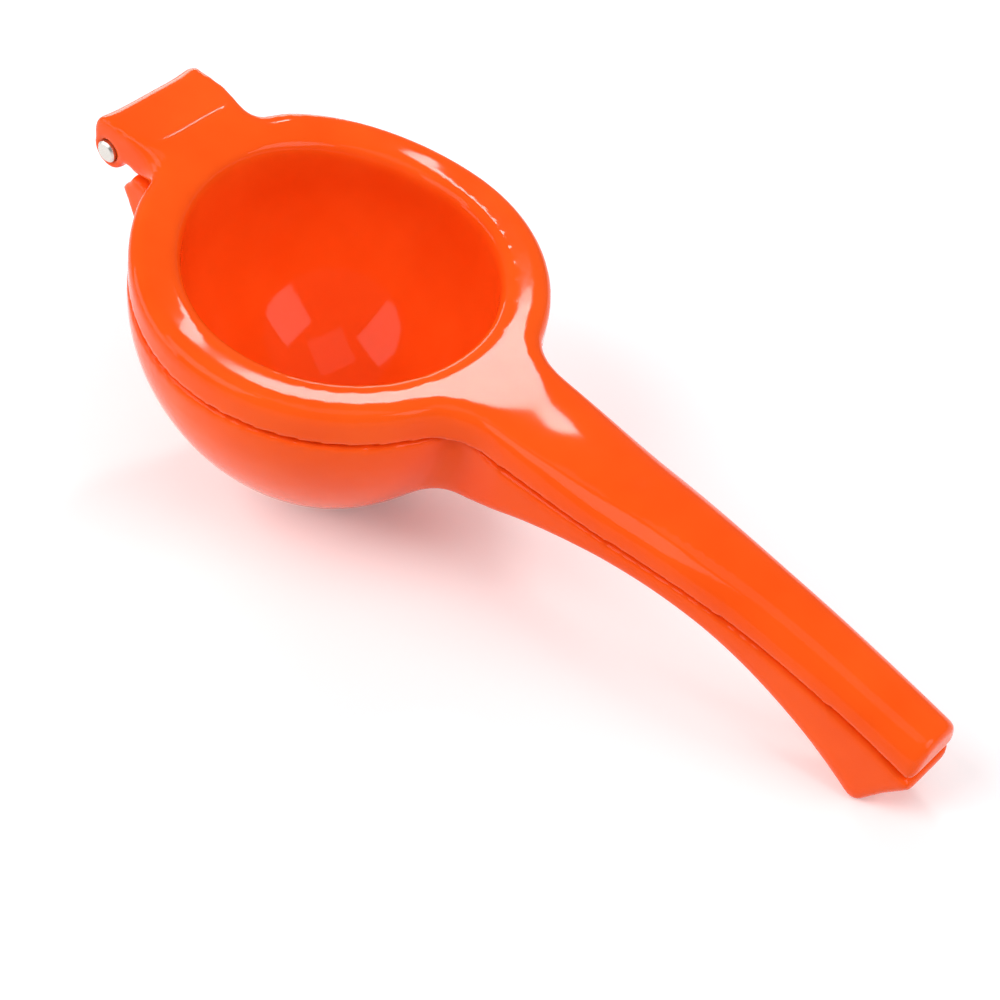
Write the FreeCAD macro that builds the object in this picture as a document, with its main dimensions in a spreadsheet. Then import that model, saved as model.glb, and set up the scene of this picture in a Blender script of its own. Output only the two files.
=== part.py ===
import FreeCAD, Part
import math
import os
from types import SimpleNamespace
import Sketcher

# Driving sizes in millimetres. The castings are drawn in their own frame: the origin is where the cup's
# axis meets the flat top of the ring, X runs along the handles and Z up the cup's axis.
SIZES = {
    "ring_outer_radius": 50.0,
    "ring_edge_round": 3.4,
    "flange_thickness": 9.6,
    "ring_width": 12.1,
    "rim_round": 3.1,
    "cup_straight": 8.0,
    "cup_depth": 49.0,
    "cup_blend_slope": 1.787,
    "cup_wall": 3.4,
    "bowl_inset": 2.2,
    "bowl_depth": 55.8,
    "bowl_blend_slope": 1.022,
    "bowl_wall": 3.5,
    "seam_gap": 0.6,
    "neck_fillet": 20.0,
    "neck_half_width": 11.2,
    "end_half_width": 8.2,
    "handle_length": 115.0,
    "shoulder_station": 7.0,
    "front_station": 26.0,
    "crest_station": 42.0,
    "middle_station": 66.0,
    "rear_station": 90.0,
    "shoulder_crown": 0.15,
    "shoulder_round": 4.2,
    "front_crown": 1.8,
    "crest_crown": 1.6,
    "middle_drop": 0.8,
    "rear_drop": 4.3,
    "end_drop": 8.6,
    "crown_round": 6.4,
    "handle_wall": 3.4,
    "channel_half_width": 5.0,
    "channel_inset": 6.0,
    "parting_start": 49.34,
    "parting_radius": 250.0,
    "waist_reach": 42.34,
    "waist_thickness": 6.8,
    "lower_edge_round": 2.6,
    "end_round": 1.6,
    "heel_setback": 12.16,
    "heel_flat": 3.0,
    "toe_overhang": 1.4,
    "toe_thickness": 2.6,
    "rest_slope": 0.187,
    "hinge_half_width": 15.7,
    "saddle_radius": 143.0,
    "crease_setback": 0.5,
    "plate_thickness": 3.6,
    "nose_radius": 4.5,
    "pin_back": 13.4,
    "pin_drop": 9.2,
    "pin_radius": 2.8,
    "pin_proud": 0.7,
    "pin_edge": 0.5,
    "press_clearance": 0.01,
    "running_clearance": 0.08,
    "eye_radius": 5.0,
    "notch_width": 4.0,
    "notch_height": 1.4,
    "cheek_foot_drop": 1.8,
    "hinge_edge_round": 1.0,
    "knuckle_half_width": 8.0,
    "cheek_gap": 0.4,
    "lug_clearance_radius": 9.0,
    "lug_corner_drop": 7.5,
    "lug_root_depth": 25.0,
    "drain_hole_radius": 2.3,
    "inner_hole_circle": 9.5,
    "outer_hole_circle": 18.5,
}

doc = FreeCAD.newDocument("citrus_press")
sheet = doc.addObject("Spreadsheet::Sheet", "sizes")
for row, (alias, value) in enumerate(SIZES.items(), start=1):
    sheet.set(f"A{row}", alias)
    sheet.set(f"B{row}", str(value))
    sheet.setAlias(f"B{row}", alias)
doc.recompute()


class Size:
    """A length together with the spreadsheet formula that gives it."""

    def __init__(self, value, formula):
        self.value = value
        self.formula = formula

    def __add__(self, other):
        other = as_size(other)
        return Size(self.value + other.value, f"({self.formula} + {other.formula})")

    def __sub__(self, other):
        other = as_size(other)
        return Size(self.value - other.value, f"({self.formula} - {other.formula})")

    def __mul__(self, other):
        other = as_size(other)
        return Size(self.value * other.value, f"({self.formula} * {other.formula})")

    def __truediv__(self, other):
        other = as_size(other)
        return Size(self.value / other.value, f"({self.formula} / {other.formula})")

    def __neg__(self):
        return Size(-self.value, f"(0 - {self.formula})")


def as_size(number):
    return number if isinstance(number, Size) else Size(float(number), f"{float(number)}")


def root(size):
    return Size(math.sqrt(size.value), f"sqrt({size.formula})")


d = SimpleNamespace(**{alias: Size(value, f"sizes.{alias}") for alias, value in SIZES.items()})
zero = as_size(0)


# Sketches and features

def bind(sketch, constraint, size):
    number = sketch.addConstraint(constraint)
    sketch.setExpression(f"Constraints[{number}]", size.formula)


def new_sketch(body, name, role, offset=None):
    sketch = body.newObject("Sketcher::SketchObject", name)
    plane = next(item for item in body.Origin.OriginFeatures if item.Role == role)
    sketch.AttachmentSupport = [(plane, "")]
    sketch.MapMode = "FlatFace"
    if offset is not None:
        sketch.setExpression("AttachmentOffset.Base.z", offset.formula)
    return sketch


def add_loop(sketch, path):
    """Closed loop. A step is the point where an edge ends and, for an arc, its centre, radius and turn."""
    first = sketch.GeometryCount
    ends = []
    for index, step in enumerate(path):
        begin, finish = (FreeCAD.Vector(p[0].value, p[1].value, 0) for p in (path[index - 1], step))
        if len(step) == 2:
            sketch.addGeometry(Part.LineSegment(begin, finish), False)
            ends.append((1, 2))
            continue
        centre = FreeCAD.Vector(step[2].value, step[3].value, 0)
        tips = (begin, finish) if step[5] > 0 else (finish, begin)
        angles = [math.atan2(tip.y - centre.y, tip.x - centre.x) for tip in tips]
        circle = Part.Circle(centre, FreeCAD.Vector(0, 0, 1), step[4].value)
        sketch.addGeometry(Part.ArcOfCircle(circle, *angles), False)
        ends.append((1, 2) if step[5] > 0 else (2, 1))
    for index, step in enumerate(path):
        after = (index + 1) % len(path)
        sketch.addConstraint(
            Sketcher.Constraint("Coincident", first + index, ends[index][1], first + after, ends[after][0]))
        for kind, length in zip(("DistanceX", "DistanceY"), step[:2]):
            place = Sketcher.Constraint(kind, -1, 1, first + index, ends[index][1], length.value)
            bind(sketch, place, length)
        if len(step) > 2:
            bind(sketch, Sketcher.Constraint("Radius", first + index, step[4].value), step[4])


def outline(body, name, role, path, offset=None):
    sketch = new_sketch(body, name, role, offset)
    add_loop(sketch, path)
    return sketch


def stencil(body, name, role, path, low, high):
    """Rectangle with the path as its hole: a pocket of it leaves only what lies inside the path."""
    sketch = new_sketch(body, name, role)
    add_loop(sketch, [(low[0], low[1]), (high[0], low[1]), (high[0], high[1]), (low[0], high[1])])
    add_loop(sketch, path)
    return sketch


def circle_sketch(body, name, role, x, y, radius):
    sketch = new_sketch(body, name, role)
    centre = FreeCAD.Vector(x.value, y.value, 0)
    sketch.addGeometry(Part.Circle(centre, FreeCAD.Vector(0, 0, 1), radius.value), False)
    bind(sketch, Sketcher.Constraint("DistanceX", -1, 1, 0, 3, x.value), x)
    bind(sketch, Sketcher.Constraint("DistanceY", -1, 1, 0, 3, y.value), y)
    bind(sketch, Sketcher.Constraint("Radius", 0, radius.value), radius)
    return sketch


def pad(body, name, sketch, length, centred=True):
    feature = body.newObject("PartDesign::Pad", name)
    feature.Profile = sketch
    feature.setExpression("Length", length.formula)
    feature.Midplane = centred
    feature.Reversed = not centred
    doc.recompute()
    return feature


def pocket(body, name, sketch, length=None):
    """Cut to both sides of the sketch, right through unless a width is given."""
    feature = body.newObject("PartDesign::Pocket", name)
    feature.Profile = sketch
    feature.Midplane = True
    if length is None:
        feature.Type = "ThroughAll"
    else:
        feature.setExpression("Length", length.formula)
    doc.recompute()
    return feature


def turn(body, kind, name, sketch):
    feature = body.newObject(f"PartDesign::{kind}", name)
    feature.Profile = sketch
    feature.ReferenceAxis = (sketch, ["V_Axis"])
    feature.Angle = 360.0
    doc.recompute()
    return feature


def round_edges(body, name, base, radius, wanted):
    edges = [f"Edge{index}" for index, edge in enumerate(base.Shape.Edges, start=1) if wanted(edge)]
    feature = body.newObject("PartDesign::Fillet", name)
    feature.Base = (base, edges)
    feature.setExpression("Radius", radius.formula)
    doc.recompute()
    return feature


def middle(edge):
    return edge.valueAt((edge.FirstParameter + edge.LastParameter) / 2)


def vessel_arcs(radius, depth, slope):
    """Radii of the side arc and the tip arc of a round vessel, and the direction in which they meet."""
    across = as_size(1) / root(slope * slope + 1)
    down = across * slope
    spread = (depth - radius) / (across + down - 1)
    return radius + spread * across, depth - spread * down, across, down


def oval(radius, rim, depth, slope, growth):
    """Half section of a round-bottomed vessel, from its rim to its tip on the axis.

    The side arc is vertical at the rim and meets the tip arc in a tangent. The growth moves both arcs out.
    """
    side, tip, across, down = vessel_arcs(radius, depth, slope)
    tip_z = rim - depth + tip
    return [
        (radius + growth, rim),
        ((tip + growth) * across, tip_z - (tip + growth) * down, radius - side, rim, side + growth, -1),
        (zero, rim - depth - growth, zero, tip_z, tip + growth, -1),
    ]


# Shared lines of the two castings

ring = d.ring_outer_radius
opening_radius = ring - d.ring_width
bowl_radius = ring - d.bowl_inset
flange_low = -d.flange_thickness
bowl_rim = flange_low - d.seam_gap
neck_x = root((ring + d.neck_fillet) * (ring + d.neck_fillet)
              - (d.neck_half_width + d.neck_fillet) * (d.neck_half_width + d.neck_fillet))
end_x = neck_x + d.handle_length
toe_x = end_x + d.toe_overhang
heel_x = end_x - d.heel_setback
waist_x = neck_x + d.waist_reach
parting_x = neck_x + d.parting_start


def saddle(x, depth):
    """Height of a curve at a depth below the ring's top, which sweeps up from the cup's axis to the hinge."""
    radius = d.saddle_radius + depth
    return d.saddle_radius - root(radius * radius - x * x)


crease_x = -(ring + d.crease_setback)
hinge_top = saddle(crease_x, zero)
pin_x = crease_x - d.pin_back
pin_z = hinge_top - d.pin_drop
slot_half_width = d.knuckle_half_width + d.cheek_gap
cheek_foot = pin_z - d.cheek_foot_drop


def half_width(x):
    """Straight taper of both handles from the neck to the end."""
    return d.neck_half_width + (d.end_half_width - d.neck_half_width) * ((x - neck_x) / d.handle_length)


def parting(x, gap):
    """Height of the parting curve past its bend, lowered by a gap."""
    radius = d.parting_radius - gap
    return flange_low - d.parting_radius + root(radius * radius - (x - parting_x) * (x - parting_x))


def plan(radius):
    """Plan outline of a round body that runs through concave neck arcs into the tapered handle."""
    reach = radius + d.neck_fillet
    centre_y = d.neck_half_width + d.neck_fillet
    centre_x = root(reach * reach - centre_y * centre_y)
    touch_x, touch_y = centre_x * radius / reach, centre_y * radius / reach
    return centre_x, centre_y, touch_x, touch_y


# Press arm: flange, hinge plate with cheeks, handle and cup in one casting

press = doc.addObject("PartDesign::Body", "press_arm")
press.Label = "press_arm"

fillet_x, fillet_y, touch_x, touch_y = plan(ring)
flange_path = [
    (neck_x, d.neck_half_width),
    (touch_x, touch_y, fillet_x, fillet_y, d.neck_fillet, -1),
    (touch_x, -touch_y, zero, zero, ring, 1),
    (neck_x, -d.neck_half_width, fillet_x, -fillet_y, d.neck_fillet, -1),
]
pad(press, "flange_slab", outline(press, "flange_plan", "XY_Plane", flange_path), ring)

flange_depth = d.saddle_radius + d.flange_thickness
flange_side = [
    (neck_x + ring, flange_low),
    (neck_x + ring, zero),
    (zero, zero),
    (crease_x, hinge_top, zero, d.saddle_radius, d.saddle_radius, -1),
    (crease_x, saddle(crease_x, d.flange_thickness)),
    (zero, flange_low, zero, d.saddle_radius, flange_depth, 1),
]
pocket(press, "flange_trim", stencil(press, "flange_side", "XZ_Plane", flange_side,
                                     (-ring * 1.5, -ring), (neck_x + ring * 1.5, ring)))
opening_plan = circle_sketch(press, "opening_plan", "XY_Plane", zero, zero, opening_radius)
flange = pocket(press, "opening", opening_plan)


def flange_top_edge(edge):
    point = middle(edge)
    return (math.hypot(point.x, point.y) > ring.value - 0.01 and point.x < neck_x.value - 0.01
            and point.z > flange_low.value / 2 and len(edge.Vertexes) > 0
            and all(v.Point.z > saddle_at(v.Point.x) - 0.01 for v in edge.Vertexes))


def saddle_at(x):
    return SIZES["saddle_radius"] - math.sqrt(SIZES["saddle_radius"] ** 2 - min(x, 0.0) ** 2)


def rim_edge(edge):
    point = middle(edge)
    return (abs(math.hypot(point.x, point.y) - opening_radius.value) < 0.01
            and abs(point.z - saddle_at(point.x)) < 0.01)


flange = round_edges(press, "flange_rounded", flange, d.ring_edge_round, flange_top_edge)
round_edges(press, "rim_rounded", flange, d.rim_round, rim_edge)

root_x = -(opening_radius + d.cup_wall)
back_x = pin_x - d.eye_radius
eye_side = root(d.eye_radius * d.eye_radius - d.cheek_foot_drop * d.cheek_foot_drop)
notch_radius = (d.notch_width * d.notch_width / 4 + d.notch_height * d.notch_height) / (d.notch_height * 2)
foot_rise = d.saddle_radius - cheek_foot
foot_x = -root(flange_depth * flange_depth - foot_rise * foot_rise)
hinge_path = [
    (root_x, saddle(root_x, zero)),
    (crease_x, hinge_top, zero, d.saddle_radius, d.saddle_radius, -1),
    (back_x + d.nose_radius, hinge_top),
    (back_x, hinge_top - d.nose_radius, back_x + d.nose_radius, hinge_top - d.nose_radius, d.nose_radius, 1),
    (back_x, pin_z),
    (pin_x + eye_side, cheek_foot, pin_x, pin_z, d.eye_radius, 1),
    (pin_x + eye_side + d.notch_width, cheek_foot,
     pin_x + eye_side + d.notch_width / 2, cheek_foot + d.notch_height - notch_radius, notch_radius, -1),
    (foot_x, cheek_foot),
    (root_x, saddle(root_x, d.flange_thickness), zero, d.saddle_radius, flange_depth, 1),
]
hinge_block = pad(press, "hinge_block", outline(press, "hinge_side", "XZ_Plane", hinge_path),
                  d.hinge_half_width * 2)


def hinge_rim_edge(edge):
    """Edges of the cover plate and its nose along the outer sides of the cheeks."""
    point = middle(edge)
    return (abs(abs(point.y) - d.hinge_half_width.value) < 0.01 and point.z > pin_z.value
            and all(v.Point.x < crease_x.value + 0.01 for v in edge.Vertexes))


round_edges(press, "hinge_rounded", hinge_block, d.hinge_edge_round, hinge_rim_edge)


def handle_section(name, x, top, rounding):
    """Arched cross section of the upper handle; the parting cut trims its foot."""
    wide = half_width(x)
    flat = wide - rounding
    foot = top - d.flange_thickness * 2
    return outline(press, name, "YZ_Plane", [
        (wide, foot),
        (wide, top - rounding),
        (flat, top, flat, top - rounding, rounding, 1),
        (-flat, top),
        (-wide, top - rounding, -flat, top - rounding, rounding, 1),
        (-wide, foot),
    ], x)


front_x = neck_x + d.front_station
middle_x = neck_x + d.middle_station
handle = press.newObject("PartDesign::AdditiveLoft", "upper_handle")
handle.Profile = handle_section("neck_section", neck_x, zero, d.ring_edge_round)
handle.Sections = [
    handle_section("shoulder_section", neck_x + d.shoulder_station, d.shoulder_crown, d.shoulder_round),
    handle_section("front_section", front_x, d.front_crown, d.crown_round),
    handle_section("crest_section", neck_x + d.crest_station, d.crest_crown, d.crown_round),
    handle_section("middle_section", middle_x, -d.middle_drop, d.crown_round),
    handle_section("rear_section", neck_x + d.rear_station, -d.rear_drop, d.crown_round),
    handle_section("end_section", end_x, -d.end_drop, d.crown_round),
]
doc.recompute()

cup_rim, oval_depth = -d.cup_straight, d.cup_depth - d.cup_straight
cup_shell = oval(opening_radius, cup_rim, oval_depth, d.cup_blend_slope, d.cup_wall)
cup_path = [(zero, flange_low / 2), (opening_radius + d.cup_wall, flange_low / 2)] + cup_shell
turn(press, "Revolution", "cup", outline(press, "cup_section", "XZ_Plane", cup_path))

below = flange_low - d.flange_thickness * 3
parting_path = [
    (ring, flange_low),
    (ring, below),
    (toe_x, below),
    (toe_x, parting(toe_x, zero)),
    (parting_x, flange_low, parting_x, flange_low - d.parting_radius, d.parting_radius, 1),
]
parting_cut = pocket(press, "parting_cut", outline(press, "parting_side", "XZ_Plane", parting_path))


def end_edge(edge):
    points = [middle(edge)] + [vertex.Point for vertex in edge.Vertexes]
    return all(abs(point.x - end_x.value) < 0.01 for point in points)


round_edges(press, "end_rounded", parting_cut, d.end_round, end_edge)

cup_hollow = oval(opening_radius, cup_rim, oval_depth, d.cup_blend_slope, zero)
hollow_path = [(zero, hinge_top), (opening_radius, hinge_top)] + cup_hollow
turn(press, "Groove", "cup_hollow", outline(press, "hollow_section", "XZ_Plane", hollow_path))

slot_top = hinge_top - d.plate_thickness
slot_path = [
    (back_x - d.eye_radius, pin_z - d.eye_radius * 2),
    (-ring, pin_z - d.eye_radius * 2),
    (-ring, slot_top),
    (back_x - d.eye_radius, slot_top),
]
pocket(press, "knuckle_slot", outline(press, "slot_side", "XZ_Plane", slot_path), slot_half_width * 2)
pocket(press, "pin_hole", circle_sketch(press, "pin_hole_side", "XZ_Plane", pin_x, pin_z,
                                        d.pin_radius + d.press_clearance))

channel_start, channel_end = neck_x + d.channel_inset, end_x - d.channel_inset
channel_path = [
    (channel_start, -d.handle_wall),
    (channel_start, below),
    (channel_end, below),
    (channel_end, -(d.end_drop + d.handle_wall)),
    (middle_x, -(d.middle_drop + d.handle_wall)),
    (front_x, d.front_crown - d.handle_wall),
]
pocket(press, "handle_channel", outline(press, "channel_side", "XZ_Plane", channel_path),
       d.channel_half_width * 2)

# Bowl arm: handle with heel and toe, bowl, lug and knuckle in one casting

bowl = doc.addObject("PartDesign::Body", "bowl_arm")
bowl.Label = "bowl_arm"

inside_x = bowl_radius * 0.6
lower_path = [
    (inside_x, -d.neck_half_width),
    (neck_x, -d.neck_half_width),
    (toe_x, -half_width(toe_x)),
    (toe_x, half_width(toe_x)),
    (neck_x, d.neck_half_width),
    (inside_x, d.neck_half_width),
]
bowl_low = bowl_rim - d.bowl_depth
lower_slab = pad(bowl, "lower_slab", outline(bowl, "lower_plan", "XY_Plane", lower_path),
                 -bowl_low, centred=False)

# The floor line touches the bowl's tip arc and carries the flat of the heel.
tip_radius = vessel_arcs(bowl_radius, d.bowl_depth, d.bowl_blend_slope)[1]
floor_at_axis = bowl_low + tip_radius - tip_radius * root(d.rest_slope * d.rest_slope + 1)


def floor(x):
    return floor_at_axis + d.rest_slope * x


waist_z = flange_low - d.waist_thickness
arch_run, arch_drop = heel_x - waist_x, waist_z - floor(heel_x)
arch_radius = (arch_run * arch_run + arch_drop * arch_drop) / (arch_drop * 2)
arch_z = waist_z - arch_radius


def arch(x, growth):
    radius = arch_radius + growth
    return arch_z + root(radius * radius - (x - waist_x) * (x - waist_x))


heel_end = heel_x + d.heel_flat
toe_z = parting(toe_x, d.seam_gap)
lower_side = [
    (inside_x, bowl_rim),
    (inside_x, arch(inside_x, zero)),
    (heel_x, floor(heel_x), waist_x, arch_z, arch_radius, -1),
    (heel_end, floor(heel_end)),
    (toe_x, toe_z - d.toe_thickness),
    (toe_x, toe_z),
    (parting_x, bowl_rim, parting_x, flange_low - d.parting_radius,
     d.parting_radius - d.seam_gap, 1),
]
low_corner = (inside_x - d.bowl_wall, bowl_low - d.bowl_wall)
high_corner = (toe_x + d.bowl_wall, d.bowl_wall)
lower_handle = pocket(bowl, "lower_handle",
                      stencil(bowl, "lower_side", "XZ_Plane", lower_side, low_corner, high_corner))


def lower_long_edge(edge):
    """Edges between the underside and the sides of the lower handle, heel and toe included."""
    point = middle(edge)
    ends = [vertex.Point for vertex in edge.Vertexes]
    at_side = all(abs(end.y) > d.end_half_width.value / 2 and end.y * point.y > 0 for end in ends)
    lengthwise = abs(ends[0].x - ends[-1].x) > 0.1
    return at_side and lengthwise and point.z < waist_z.value - 0.2 and point.x > inside_x.value + 0.1


round_edges(bowl, "lower_rounded", lower_handle, d.lower_edge_round, lower_long_edge)

bowl_shell = oval(bowl_radius, bowl_rim, d.bowl_depth, d.bowl_blend_slope, zero)
bowl_top = saddle(-bowl_radius, zero)
turn(bowl, "Revolution", "bowl_outside",
     outline(bowl, "bowl_section", "XZ_Plane", [(zero, bowl_top), (bowl_radius, bowl_top)] + bowl_shell))

seam_depth = d.flange_thickness + d.seam_gap
seam_radius = d.saddle_radius + seam_depth
trim_x = ring * 1.2
rim_path = [
    (-trim_x, saddle(-trim_x, seam_depth)),
    (zero, bowl_rim, zero, d.saddle_radius, seam_radius, 1),
    (trim_x, bowl_rim),
    (trim_x, ring),
    (-trim_x, ring),
]
pocket(bowl, "bowl_trim", outline(bowl, "rim_side", "XZ_Plane", rim_path))

lug_front = -(ring + d.seam_gap)
lug_top = cheek_foot - d.seam_gap
sweep_square = d.lug_clearance_radius * d.lug_clearance_radius
lug_reach = root(sweep_square - (lug_top - pin_z) * (lug_top - pin_z))
corner_x = pin_x + root(sweep_square - d.lug_corner_drop * d.lug_corner_drop)
corner_z = pin_z - d.lug_corner_drop
wall_middle = bowl_radius - d.bowl_wall / 2
lug_rise = d.saddle_radius - lug_top
lug_path = [
    (-wall_middle, saddle(-wall_middle, seam_depth)),
    (-root(seam_radius * seam_radius - lug_rise * lug_rise), lug_top,
     zero, d.saddle_radius, seam_radius, -1),
    (pin_x + lug_reach, lug_top),
    (corner_x, corner_z, pin_x, pin_z, d.lug_clearance_radius, -1),
    (-wall_middle * 0.92, corner_z - d.lug_root_depth),
]
pad(bowl, "hinge_lug", outline(bowl, "lug_side", "XZ_Plane", lug_path), d.hinge_half_width * 2)


def tangent_point(x, z, side):
    """Where a line from a point touches the knuckle's eye."""
    run, rise = x - pin_x, z - pin_z
    square = run * run + rise * rise
    near = d.eye_radius * d.eye_radius / square
    off = d.eye_radius * root(square - d.eye_radius * d.eye_radius) / square * side
    return pin_x + run * near - rise * off, pin_z + rise * near + run * off


eye_top = tangent_point(lug_front, lug_top, 1)
eye_low = tangent_point(corner_x, corner_z, -1)
knuckle_path = [
    (lug_front, lug_top),
    (lug_front, corner_z),
    (corner_x, corner_z),
    eye_low,
    eye_top + (pin_x, pin_z, d.eye_radius, -1),
]
pad(bowl, "knuckle", outline(bowl, "knuckle_side", "XZ_Plane", knuckle_path), d.knuckle_half_width * 2)

bowl_inside = oval(bowl_radius, bowl_rim, d.bowl_depth, d.bowl_blend_slope, -d.bowl_wall)
inside_path = [(zero, zero), (bowl_radius - d.bowl_wall, zero)] + bowl_inside
turn(bowl, "Groove", "bowl_hollow", outline(bowl, "inside_section", "XZ_Plane", inside_path))

pocket(bowl, "knuckle_bore", circle_sketch(bowl, "bore_side", "XZ_Plane", pin_x, pin_z,
                                           d.pin_radius + d.running_clearance))

lower_start, lower_end = neck_x + d.channel_inset, heel_x - d.channel_inset
lower_channel = [
    (lower_start, zero),
    (lower_start, arch(lower_start, d.handle_wall)),
    (lower_end, arch(lower_end, d.handle_wall), waist_x, arch_z, arch_radius + d.handle_wall, -1),
    (lower_end, zero),
]
pocket(bowl, "lower_channel", outline(bowl, "lower_channel_side", "XZ_Plane", lower_channel),
       d.channel_half_width * 2)

axis = next(item for item in bowl.Origin.OriginFeatures if item.Role == "Z_Axis")
pocket(bowl, "centre_hole",
       circle_sketch(bowl, "centre_hole_plan", "XY_Plane", zero, zero, d.drain_hole_radius))
for name, circle, count in (("inner", d.inner_hole_circle, 6), ("outer", d.outer_hole_circle, 12)):
    hole = pocket(bowl, f"{name}_hole",
                  circle_sketch(bowl, f"{name}_hole_plan", "XY_Plane", circle, zero, d.drain_hole_radius))
    pattern = bowl.newObject("PartDesign::PolarPattern", f"{name}_holes")
    pattern.Originals = [hole]
    pattern.Axis = (axis, [""])
    pattern.Angle = 360.0
    pattern.Occurrences = count
    bowl.Tip = pattern
    doc.recompute()

# Hinge pin: steel rivet, pressed into the cheeks

pin = doc.addObject("PartDesign::Body", "hinge_pin")
pin.Label = "hinge_pin"
shank = pad(pin, "shank", circle_sketch(pin, "pin_side", "XZ_Plane", pin_x, pin_z, d.pin_radius),
            (d.hinge_half_width + d.pin_proud) * 2)
heads = [f"Edge{index}" for index, edge in enumerate(shank.Shape.Edges, start=1)
         if len(edge.Vertexes) == 1]
head_edge = pin.newObject("PartDesign::Chamfer", "head_edge")
head_edge.Base = (shank, heads)
head_edge.setExpression("Size", d.pin_edge.formula)
doc.recompute()

# At rest the bowl's tip and the heel stand on the floor, so the castings lean towards the handle.

bodies = [press, bowl, pin]
lean = FreeCAD.Rotation(FreeCAD.Vector(0, 1, 0), math.degrees(math.atan(SIZES["rest_slope"])))
standing = [lean.multVec(point) for body in bodies for point in body.Shape.tessellate(0.05)[0]]
shift = FreeCAD.Vector(-(min(p.x for p in standing) + max(p.x for p in standing)) / 2, 0,
                       -min(p.z for p in standing))
for body in bodies:
    body.Placement = FreeCAD.Placement(shift, lean)
doc.recompute()

for item in doc.Objects:
    if "Invalid" in item.State or "Error" in item.State:
        raise RuntimeError(f"{item.Name} did not build: {item.State}")
os.makedirs("parts", exist_ok=True)
for body in bodies:
    if body.Shape.isNull() or not body.Shape.isValid() or len(body.Shape.Solids) != 1:
        raise RuntimeError(f"{body.Label} is not one valid solid")
    body.Shape.exportStep(f"parts/{body.Label}.step")
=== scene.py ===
import math

import bpy
import numpy as np
from mathutils import Euler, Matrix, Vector


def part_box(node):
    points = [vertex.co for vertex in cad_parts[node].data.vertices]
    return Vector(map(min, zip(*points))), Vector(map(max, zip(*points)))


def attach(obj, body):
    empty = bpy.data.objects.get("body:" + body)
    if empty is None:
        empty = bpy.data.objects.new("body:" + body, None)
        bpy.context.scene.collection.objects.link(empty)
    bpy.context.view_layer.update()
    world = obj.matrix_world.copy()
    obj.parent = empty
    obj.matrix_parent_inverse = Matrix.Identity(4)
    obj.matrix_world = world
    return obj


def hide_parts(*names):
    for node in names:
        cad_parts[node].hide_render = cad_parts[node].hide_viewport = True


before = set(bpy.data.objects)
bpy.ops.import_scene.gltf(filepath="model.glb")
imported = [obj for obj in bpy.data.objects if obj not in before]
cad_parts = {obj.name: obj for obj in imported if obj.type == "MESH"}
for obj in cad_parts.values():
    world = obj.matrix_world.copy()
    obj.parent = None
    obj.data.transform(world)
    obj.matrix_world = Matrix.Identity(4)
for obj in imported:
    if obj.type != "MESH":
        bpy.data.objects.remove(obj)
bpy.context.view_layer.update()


# Press arm: ring flange, hollow press cup, hinge cheeks and upper handle.
# One aluminium casting, fettled, then dipped in orange enamel and baked,
# so every edge is softened by the coat and the seam to the lower arm stays open.

def linear(colour):
    """sRGB hex to linear: each byte over 255, then the 2.4 power above the toe, a straight line below it."""
    share = np.array([int(colour[i:i + 2], 16) for i in (1, 3, 5)]) / 255
    light = np.where(share <= 0.04045, share / 12.92, ((share + 0.055) / 1.055) ** 2.4)
    return (*light.tolist(), 1.0)


def add_node(tree, kind, links=(), values=(), **settings):
    """Adds a node, sets its properties and input values, and links (input, other node, output) into it."""
    node = tree.nodes.new(kind)
    for name, value in settings.items():
        setattr(node, name, value)
    for socket, value in dict(values).items():
        node.inputs[socket].default_value = value
    for socket, other, output in links:
        tree.links.new(other.outputs[output], node.inputs[socket])
    return node


lean = math.atan(0.187)                           # slope at which the closed press stands on its heel
ring_centre = np.array([-52.514, 0.0, 65.591])    # middle of the ring's flat top, in millimetres
lean_turn = np.array([[math.cos(lean), 0, -math.sin(lean)],
                      [0, 1, 0],
                      [math.sin(lean), 0, math.cos(lean)]])


def casting_millimetres(points):
    """Points of the standing press in the casting's own frame: less the ring's centre, then leaned back."""
    return (points * 1000 - ring_centre) @ lean_turn.T


def standing_metres(points):
    """The reverse: turned by the lean, moved to the ring's centre and put into metres."""
    return (points @ lean_turn + ring_centre) / 1000


def even_skin(node, cell):
    """Mesh, points and edges of a CAD node as an even skin of small squares, one cell wide, in casting mm.

    A copy of the node's facets is joined at its doubles and gridded again by voxels of that size.
    """
    copy = bpy.data.objects.new("skin", node.data.copy())
    bpy.context.scene.collection.objects.link(copy)
    joined = copy.modifiers.new("joined", "WELD")
    joined.merge_threshold = 2e-6
    gridded = copy.modifiers.new("gridded", "REMESH")
    gridded.mode = "VOXEL"
    gridded.voxel_size = cell / 1000
    gridded.adaptivity = 0.0
    skin = bpy.data.meshes.new_from_object(copy.evaluated_get(bpy.context.evaluated_depsgraph_get()))
    bpy.data.objects.remove(copy)
    points = np.empty(len(skin.vertices) * 3)
    skin.vertices.foreach_get("co", points)
    edges = np.empty(len(skin.edges) * 2, int)
    skin.edges.foreach_get("vertices", edges)
    return skin, casting_millimetres(points.reshape(-1, 3)), edges.reshape(-1, 2)


def flow(points, edges, share, rounds):
    """Wet enamel and cast fillets: each round moves a point by half its share to its neighbours' mean."""
    ends, others = np.concatenate([edges, edges[:, ::-1]]).T
    count = np.bincount(ends, minlength=len(points))
    for _ in range(rounds):
        mean = np.stack([np.bincount(ends, points[others, k], len(points)) for k in range(3)], 1)
        points = points + 0.5 * share[:, None] * (mean / count[:, None] - points)
    return points


def even_out(points, edges, share, rounds):
    """Takes the grid's steps out without thinning: each round flows once, then a little further back."""
    way_back = -1.04
    for _ in range(rounds):
        points = flow(points, edges, share, 1)
        points = flow(points, edges, way_back * share, 1)
    return points


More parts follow.
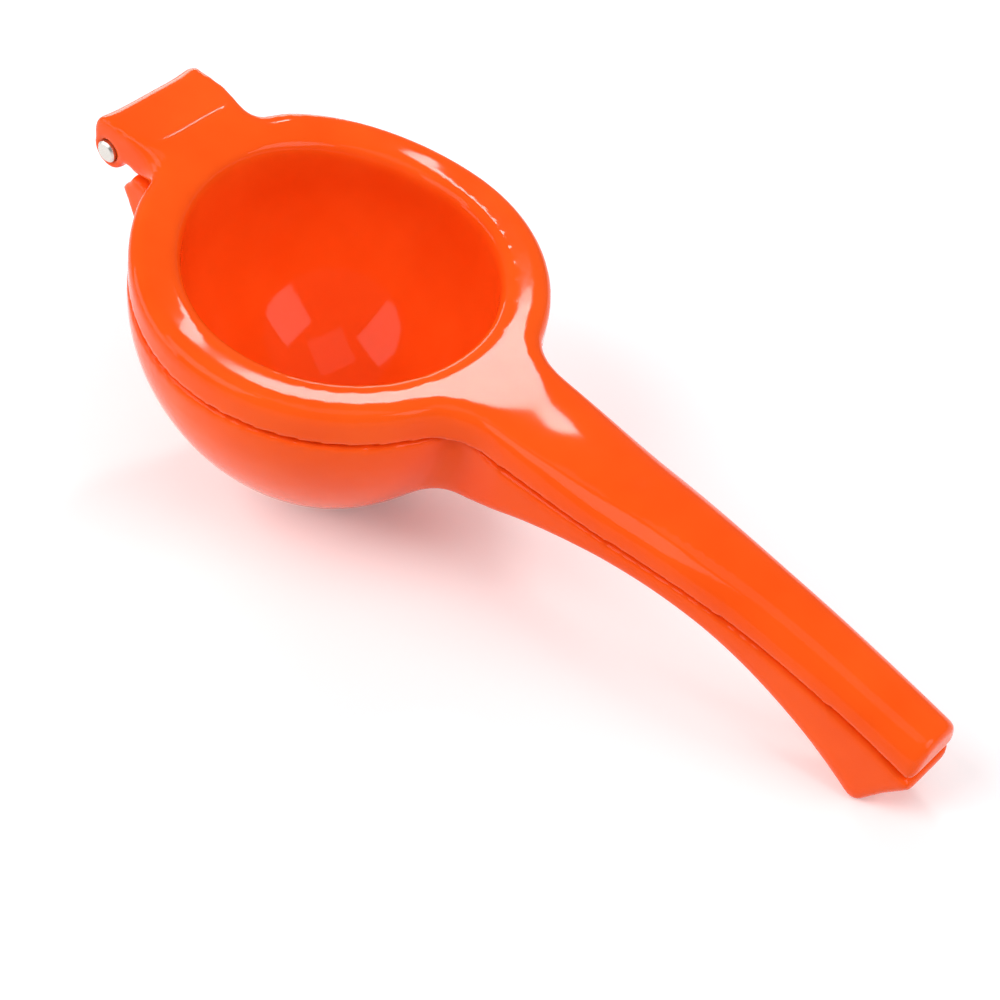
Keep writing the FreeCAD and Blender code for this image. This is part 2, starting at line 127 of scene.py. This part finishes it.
def near(distance, reach):
    """Share from 1 at no distance, or a negative one, to 0 at the reach, flat at both ends."""
    left = np.clip(1 - distance / reach, 0, 1)
    return left * left * (3 - 2 * left)


def fuller_neck(points):
    """Handle root of either arm, wider by up to 2.4 mm from the neck on, back to size over another 60 mm.

    A point moves sideways in proportion to its distance from the middle plane, out to the handle's own side.
    Points further out, on the ring or the bowl, stay.
    """
    widest = 2.4             # gain on each side
    neck_start = 44.0        # along the handle, from the ring's centre
    neck_run = 22.0
    taper_start = 74.0
    taper_run = 60.0
    handle_side = 11.0       # out from the middle plane
    stay_start = 14.0
    stay_run = 9.0
    x, y, _ = points.T
    along = (1 - near(x - neck_start, neck_run)) * near(x - taper_start, taper_run)
    across = np.clip(y / handle_side, -1, 1) * near(np.abs(y) - stay_start, stay_run)
    gain = widest * along * across
    return points + np.stack([0 * gain, gain, 0 * gain], 1)


def coated_piece(name, skin, points, body, node, material):
    """Piece that stands for a CAD node: the skin with its moved points, shaded smooth, riding the body."""
    skin.vertices.foreach_set("co", standing_metres(points).ravel())
    skin.shade_smooth()
    skin.materials.clear()
    skin.materials.append(material)
    skin.name = name
    piece = bpy.data.objects.new(name, skin)
    bpy.context.scene.collection.objects.link(piece)
    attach(piece, body)
    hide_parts(node)


def baked_enamel(name):
    """Baked orange enamel on cast aluminium, dipped and stoved.

    The eye sees a deep even orange, a hard gloss with a faint ripple from the flow of the coat, a little
    colour drift where the coat ran thicker, and edges that the coat has rounded.
    """
    refraction = 1.22        # below enamel's usual 1.5, set so that the orange stays deep
    ripple_width = 3.2e-3    # spacing of the ripple
    ripple_height = 5e-6     # as high as on the real coat
    drift_width = 28e-3      # size of the thicker and thinner areas of the coat
    haze_width = 9e-3        # size of the slightly duller patches
    material = bpy.data.materials.new(name)
    material.use_nodes = True
    tree = material.node_tree
    shader = tree.nodes["Principled BSDF"]
    shader.inputs["IOR"].default_value = refraction
    place = add_node(tree, "ShaderNodeTexCoord")
    drift = add_node(tree, "ShaderNodeTexNoise", [("Vector", place, "Object")],
                     {"Scale": 1 / drift_width, "Detail": 3.0, "Roughness": 0.55})
    colour = add_node(tree, "ShaderNodeValToRGB", [("Fac", drift, "Fac")])
    thick, thin = colour.color_ramp.elements
    thick.position = 0.3
    thick.color = linear("#F8520F")
    thin.position = 0.7
    thin.color = linear("#FF5C17")
    tree.links.new(colour.outputs["Color"], shader.inputs["Base Color"])
    haze = add_node(tree, "ShaderNodeTexNoise", [("Vector", place, "Object")],
                    {"Scale": 1 / haze_width, "Detail": 4.0, "Roughness": 0.6})
    gloss = add_node(tree, "ShaderNodeMapRange", [("Value", haze, "Fac")],
                     {"From Min": 0.3, "From Max": 0.7, "To Min": 0.05, "To Max": 0.09})
    tree.links.new(gloss.outputs["Result"], shader.inputs["Roughness"])
    ripple = add_node(tree, "ShaderNodeTexNoise", [("Vector", place, "Object")],
                      {"Scale": 1 / ripple_width, "Detail": 1.5, "Roughness": 0.5})
    bump = add_node(tree, "ShaderNodeBump", [("Height", ripple, "Fac")],
                    {"Strength": 1.0, "Distance": ripple_height})
    tree.links.new(bump.outputs["Normal"], shader.inputs["Normal"])
    return material


orange_enamel = baked_enamel("baked_orange_enamel")
skin_cell = 0.8              # in mm, like all sizes of the two castings, measured from the ring's centre
coat_rounds = 5
grid_rounds = 14
press_skin, press_points, press_edges = even_skin(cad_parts["press_arm"], skin_cell)

# Its fillets: at the hinge's roots, on the nose of the cover plate and on top of the neck.
# The crease between ring and cover plate is spared most of them and of the coat.
ring_radius = 50.0
hinge_half_width = 15.7
hinge_root_reach = 9.0
crease = -50.5
crease_reach = 4.0
crease_half_width = 7.0
crease_foot = -6.0
crease_spared = 0.75
nose_edge = -68.9
nose_top = 9.2
nose_reach = 8.0
nose_half_width = 10.0
neck = 65.0
neck_reach = 10.0
neck_half_width = 6.0
neck_foot = -4.0
side_run = 5.0               # over which crease, nose and neck fade out sideways
fillet_rounds = 60
x, y, z = press_points.T
half_width = np.abs(y)
from_root = np.hypot(np.hypot(x, y) - ring_radius, half_width - hinge_half_width)
hinge_root = near(from_root, hinge_root_reach) * (x < 0)
plate_crease = near(np.abs(x - crease), crease_reach) * near(half_width - crease_half_width, side_run)
plate_crease = plate_crease * (z > crease_foot)
nose = near(np.hypot(x - nose_edge, z - nose_top), nose_reach) * near(half_width - nose_half_width, side_run)
neck_top = near(np.abs(x - neck), neck_reach) * near(half_width - neck_half_width, side_run) * (z > neck_foot)
fillets = np.maximum.reduce([hinge_root * (1 - plate_crease), nose, neck_top])
press_points = flow(press_points, press_edges, fillets, fillet_rounds)
coat = 1 - crease_spared * plate_crease
press_points = flow(press_points, press_edges, coat, coat_rounds)
press_points = even_out(press_points, press_edges, coat, grid_rounds)

# Its handle: domed across, lowered along the crown where it leaves the neck, wider there, and smoothed.
flange = 9.6                 # from the parting line up to the ring's top
arch_start = 112.0           # from here on the parting line falls away in an arc
arch_fall_radius = 250.0
dome = 0.008                 # fall per square of the distance from the middle plane
dome_start = 63.0
dome_run = 18.0
dome_limit = 1.2             # of the flange's height
lowered = 1.8
lowest = 92.0
lowered_before = 24.0
lowered_after = 60.0
shoulder = 76.0
shoulder_reach = 26.0
shoulder_foot = -7.5
shoulder_rise = 4.0
shoulder_rounds = 40
x, y, z = press_points.T
arc = np.sqrt(np.maximum(arch_fall_radius ** 2 - (x - arch_start) ** 2, 0)) - arch_fall_radius
parting = np.where(x > arch_start, arc, 0) - flange
rise = (z - parting) / flange
domed = dome * y * y * np.clip(rise, 0, dome_limit) * (1 - near(x - dome_start, dome_run))
levelled = lowered * np.where(x < lowest, near(lowest - x, lowered_before), near(x - lowest, lowered_after))
press_points[:, 2] -= domed + levelled * np.clip(rise, 0, 1)
press_points = fuller_neck(press_points)
x, y, z = press_points.T
shoulders = near(np.abs(x - shoulder), shoulder_reach) * np.clip((z - shoulder_foot) / shoulder_rise, 0, 1)
press_points = flow(press_points, press_edges, shoulders, shoulder_rounds)
coated_piece("press_arm_enamel", press_skin, press_points, "press_arm", "press_arm", orange_enamel)


# Bowl arm: perforated bowl, hinge lug with its knuckle, and the lower handle with heel and toe.
# The second aluminium casting, from the same enamel bath; the drain holes are cast through, the coat
# closes round their edges, and a cast fillet runs the handle's root into the bowl.

bowl_skin, bowl_points, bowl_edges = even_skin(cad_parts["bowl_arm"], skin_cell)

# Its fillet, where the handle's sides and its arched underside meet the bowl's round outside.
bowl_radius = 47.8
bowl_rim = -10.2
bowl_wall = 3.5
side_radius = 61.31          # in section the bowl's side is one arc and its tip another
tip_radius = 41.99
tip_centre = -24.01
tip_start = -54.0
handle_half_width = 11.2
waist = 105.0                # middle of the arch under the handle
arch_radius = 104.0
arch_centre = -120.4
handle_root_start = 20.0
handle_root_reach = 12.0
handle_root_depth = 2.0      # a point inside the bowl counts as no deeper than this
rim_spared = 4.0             # below the rim, where the fillet fades out
rim_run = 3.5
handle_root_rounds = 90
x, y, z = bowl_points.T
side = bowl_radius - side_radius + np.sqrt(np.maximum(side_radius ** 2 - (z - bowl_rim) ** 2, 0))
tip = np.sqrt(np.maximum(tip_radius ** 2 - (z - tip_centre) ** 2, 0))
outside = np.hypot(x, y) - np.where(z > tip_start, side, tip)
under = z - arch_centre - np.sqrt(np.maximum(arch_radius ** 2 - (x - waist) ** 2, 0))
beside = np.abs(y) - handle_half_width
from_handle = np.where(beside > 0, beside, np.minimum(np.abs(beside), np.abs(under)))
from_root = np.hypot(np.maximum(outside, -handle_root_depth), from_handle)
below_rim = near(z - bowl_rim + rim_spared, rim_run)
handle_root = near(from_root, handle_root_reach) * (x > handle_root_start) * below_rim
bowl_points = flow(bowl_points, bowl_edges, handle_root, handle_root_rounds)
coat = np.ones(len(bowl_points))
bowl_points = flow(bowl_points, bowl_edges, coat, coat_rounds)
bowl_points = even_out(bowl_points, bowl_edges, coat, grid_rounds)

# Its rim, flared to lie flush with the ring above, and its toe, drawn in under the end of the upper handle.
rim_flare = 2.2
flare_depth = 42.0           # below the rim, where the flare has faded out
flare_reach = 12.0           # out along the lug and the handle, likewise
toe_start = 166.0
toe_run = 9.0
toe_pull = 1.3
x, y, z = bowl_points.T
spread = np.clip(outside / bowl_wall + 1, 0, 1) * near(outside, flare_reach)
flare = rim_flare * spread * near(bowl_rim - z, flare_depth) / np.maximum(np.hypot(x, y), 1.0)
bowl_points = bowl_points + np.stack([x * flare, y * flare, 0 * flare], 1)
bowl_points = fuller_neck(bowl_points)
bowl_points[:, 0] -= toe_pull * (1 - near(bowl_points[:, 0] - toe_start, toe_run))
coated_piece("bowl_arm_enamel", bowl_skin, bowl_points, "bowl_arm", "bowl_arm", orange_enamel)


# Hinge pin: a plain steel rivet through the cheeks and the knuckle.
# Turned from bar and pressed in, with a small chamfer at each end and no coat,
# so its flat heads show faint turning rings.

def turned_steel(name, pin_low, pin_high):
    """Bright turned steel: grey metal with fine rings about the pin's axis and dull patches from handling."""
    ring_pitch = 0.35e-3     # spacing of the turning marks, drawn coarser than real so that they show
    ring_height = 3e-6
    wave_factor = 20         # the wave node's own, between its scale and the number of rings
    smear_width = 2e-3
    edge_round = 0.25e-3
    centre = (pin_low + pin_high) / 2
    material = bpy.data.materials.new(name)
    material.use_nodes = True
    tree = material.node_tree
    shader = tree.nodes["Principled BSDF"]
    shader.inputs["Metallic"].default_value = 1.0
    shader.inputs["Base Color"].default_value = linear("#D9D5CE")
    place = add_node(tree, "ShaderNodeTexCoord")
    about_axis = add_node(tree, "ShaderNodeMapping", [("Vector", place, "Object")],
                          {"Location": (-centre.x, -centre.y, -centre.z)})
    ring_scale = 1 / ring_pitch / wave_factor
    rings = add_node(tree, "ShaderNodeTexWave", [("Vector", about_axis, "Vector")],
                     {"Scale": ring_scale, "Distortion": 0.6, "Detail": 2.0, "Detail Scale": 3.0},
                     wave_type="RINGS", rings_direction="Y")
    smear = add_node(tree, "ShaderNodeTexNoise", [("Vector", place, "Object")],
                     {"Scale": 1 / smear_width, "Detail": 3.0})
    dull = add_node(tree, "ShaderNodeMapRange", [("Value", smear, "Fac")],
                    {"From Min": 0.3, "From Max": 0.7, "To Min": 0.22, "To Max": 0.36})
    tree.links.new(dull.outputs["Result"], shader.inputs["Roughness"])
    edge = add_node(tree, "ShaderNodeBevel", (), {"Radius": edge_round}, samples=4)
    bump = add_node(tree, "ShaderNodeBump", [("Height", rings, "Fac"), ("Normal", edge, "Normal")],
                    {"Strength": 0.6, "Distance": ring_height})
    tree.links.new(bump.outputs["Normal"], shader.inputs["Normal"])
    return material


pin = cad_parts["hinge_pin"]
pin.data.materials.clear()
pin.data.materials.append(turned_steel("turned_steel", *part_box("hinge_pin")))


# Stage: a plain white floor that keeps the press's shadow.
# The camera and mirror rays see it lifted to white; the light on the press is not changed by that.

def floor_sheet(half, name):
    """Flat square of four corners on the floor plane, one half width from the middle each way."""
    corners = np.array([(-half, -half, 0), (half, -half, 0), (half, half, 0), (-half, half, 0)])
    mesh = bpy.data.meshes.new(name)
    mesh.from_pydata(corners.tolist(), [], [(0, 1, 2, 3)])
    sheet = bpy.data.objects.new(name, mesh)
    bpy.context.scene.collection.objects.link(sheet)
    return sheet


def studio_paper(name, lift):
    """Matt white background paper; the lift is the glow that takes its lit parts to white for the camera."""
    material = bpy.data.materials.new(name)
    material.use_nodes = True
    tree = material.node_tree
    paper = tree.nodes["Principled BSDF"]
    paper.inputs["Base Color"].default_value = linear("#F4F4F4")
    paper.inputs["Roughness"].default_value = 0.9
    paper.inputs["Specular IOR Level"].default_value = 0.0
    paper.inputs["Emission Color"].default_value = linear("#FFFFFF")
    path = add_node(tree, "ShaderNodeLightPath")
    mirrored = add_node(tree, "ShaderNodeMath",
                        [(0, path, "Is Glossy Ray"), (1, path, "Is Transmission Ray")], operation="MAXIMUM")
    seen = add_node(tree, "ShaderNodeMath",
                    [(0, path, "Is Camera Ray"), (1, mirrored, "Value")], operation="MAXIMUM")
    glow = add_node(tree, "ShaderNodeMath", [(0, seen, "Value")], {1: lift}, operation="MULTIPLY")
    tree.links.new(glow.outputs["Value"], paper.inputs["Emission Strength"])
    return material


floor = floor_sheet(3.0, "studio_floor")
floor.data.materials.append(studio_paper("white_background_paper", lift=0.15))


# Light: soft studio boxes and a pale surround. The strip behind the press is the pale band on the near rim
# and the neck; the overhead, right and front boxes give the even light and the three patches in the cup; the
# left box lights the bowl's side, and the back box draws a thin pale band on the hinge's nose.

def soft_box(name, place, aim, width, height, power, roll=0.0):
    """Area lamp at a place, turned so that it faces the aim point and then rolled about its own axis."""
    lamp = bpy.data.lights.new(name, "AREA")
    lamp.shape = "RECTANGLE"
    lamp.size = width
    lamp.size_y = height
    lamp.energy = power
    holder = bpy.data.objects.new(name, lamp)
    holder.location = place
    facing = (Vector(aim) - Vector(place)).to_track_quat("-Z", "Y")
    holder.rotation_euler = (facing @ Euler((0, 0, math.radians(roll))).to_quaternion()).to_euler()
    bpy.context.scene.collection.objects.link(holder)


press_middle = (-0.05, 0.0, 0.06)
soft_box("back_strip", (-0.305, 0.556, 0.862), press_middle, width=0.22, height=0.08, power=1.8, roll=38.0)
soft_box("overhead_box", (0.34, -0.15, 1.45), press_middle, width=0.8, height=0.8, power=2.6)
soft_box("right_box", (1.19, 0.20, 0.87), press_middle, width=0.8, height=0.8, power=9.0)
soft_box("front_left_box", (-0.37, -0.93, 1.18), press_middle, width=0.9, height=0.9, power=9.5)
soft_box("left_box", (-1.0, -0.75, 0.45), press_middle, width=0.8, height=0.6, power=5.0)
soft_box("back_left_box", (-1.10, 0.78, 0.35), press_middle, width=0.9, height=0.5, power=7.0)

world = bpy.data.worlds.new("studio_surround")
world.use_nodes = True
surround = world.node_tree.nodes["Background"]
surround.inputs["Color"].default_value = linear("#F6F8FF")
surround.inputs["Strength"].default_value = 0.28
bpy.context.scene.world = world
bpy.context.scene.view_settings.view_transform = "Standard"


# Camera: above and to the right of the handle, 41 degrees round and 41 degrees up, with a long lens.

camera = bpy.data.cameras.new("camera")
camera.sensor_width = 36.0
camera.lens = 90.0
view_point = bpy.data.objects.new("camera", camera)
view_point.location = (0.28872, -0.33635, 0.41121)
view_point.rotation_euler = (math.radians(48.7), 0.0, math.radians(41.0))
bpy.context.scene.collection.objects.link(view_point)
bpy.context.scene.camera = view_point
